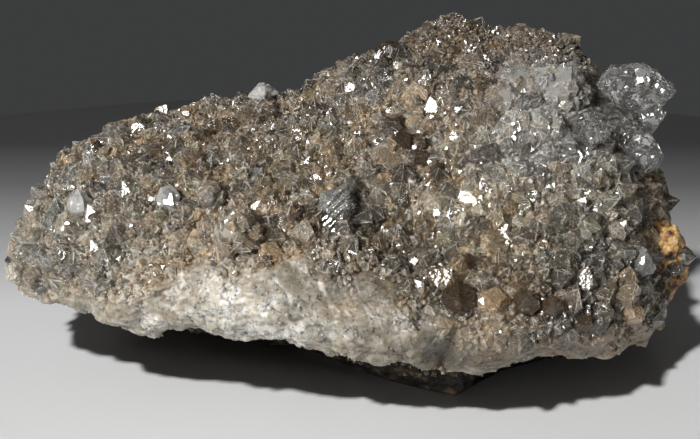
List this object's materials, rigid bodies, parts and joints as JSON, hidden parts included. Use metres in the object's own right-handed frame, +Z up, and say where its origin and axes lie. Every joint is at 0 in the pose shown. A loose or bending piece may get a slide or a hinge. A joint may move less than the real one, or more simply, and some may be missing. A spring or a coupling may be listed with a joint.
{
  "type": "herkimer diamond druse specimen",
  "caption": "Hand specimen of smoky quartz crystals crusted over dark rock, with larger clear double-pointed crystals, resting on a small flat spot.",
  "frame": {"origin": "bottom centre of the specimen's bounding box, on the surface that it rests on", "axes": "+X along the specimen's length to the end with the clear crystals, +Y to the back, +Z up"},
  "size_m": [0.1042, 0.068, 0.0519],
  "materials": {
    "smoky_quartz_crust": "glossy",
    "dark_matrix": "rough",
    "iron_stained_rock": "rough",
    "clear_quartz": "polished",
    "smoky_quartz": "polished"
  },
  "bodies": {
    "root": {"quartz_crust": "smoky_quartz_crust", "matrix_rock": "dark_matrix", "iron_stained_nub": "iron_stained_rock", "clear_crystal_spray": "clear_quartz", "round_clear_crystal": "clear_quartz", "upper_ledge_crystal": "clear_quartz", "lower_ledge_crystal": "clear_quartz", "smoky_slab_crystal": "smoky_quartz", "striated_crystal": "clear_quartz", "domed_crystal": "clear_quartz", "left_round_crystal": "clear_quartz", "left_pale_crystal": "clear_quartz", "left_bright_crystal": "clear_quartz", "crest_crystal": "clear_quartz", "dark_hexagonal_crystal": "smoky_quartz", "right_pale_crystal": "clear_quartz", "left_tip_crystals": "clear_quartz", "nub_crystal_large": "clear_quartz", "nub_crystal_small": "clear_quartz"}
  },
  "joints": []
}
